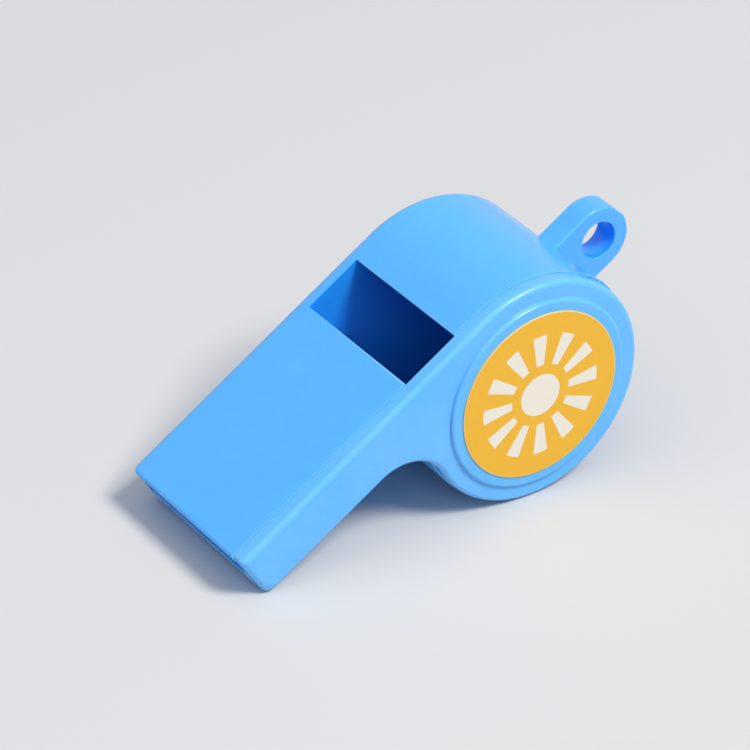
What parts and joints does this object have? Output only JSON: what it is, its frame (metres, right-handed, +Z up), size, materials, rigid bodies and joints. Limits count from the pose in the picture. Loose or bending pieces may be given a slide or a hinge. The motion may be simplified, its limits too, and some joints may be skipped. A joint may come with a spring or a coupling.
{
  "type": "pea whistle",
  "caption": "Plastic pea whistle with a flat mouthpiece, round drum, side cover, loose ball inside, round sticker and a lug for a lanyard.",
  "frame": {"origin": "middle of the footprint, on the table that the whistle lies on", "axes": "+Z up, with the drum and the mouthpiece's tip on the table. The mouthpiece points toward -X and down, the lug toward +X and up. The drum's axis lies along Y, and the side cover with its sticker faces -Y."},
  "size_m": [0.0508, 0.021, 0.0245],
  "materials": {
    "body_plastic": "satin moulded light blue plastic, slightly see-through",
    "cover_plastic": "satin moulded light blue plastic, slightly see-through",
    "sticker_paper": "printed paper with a smooth coat",
    "pea_cork": "matte cork"
  },
  "bodies": {
    "whistle": {"whistle_body": "body_plastic", "side_cover": "cover_plastic", "round_sticker": "sticker_paper"},
    "pea": {"pea": "pea_cork"}
  },
  "joints": [
    {"name": "pea_roll", "type": "hinge", "parent": "whistle", "child": "pea", "pos_m": [0.00866, 0.00011, 0.01225], "axis": [0, 1, 0], "continuous": true}
  ]
}
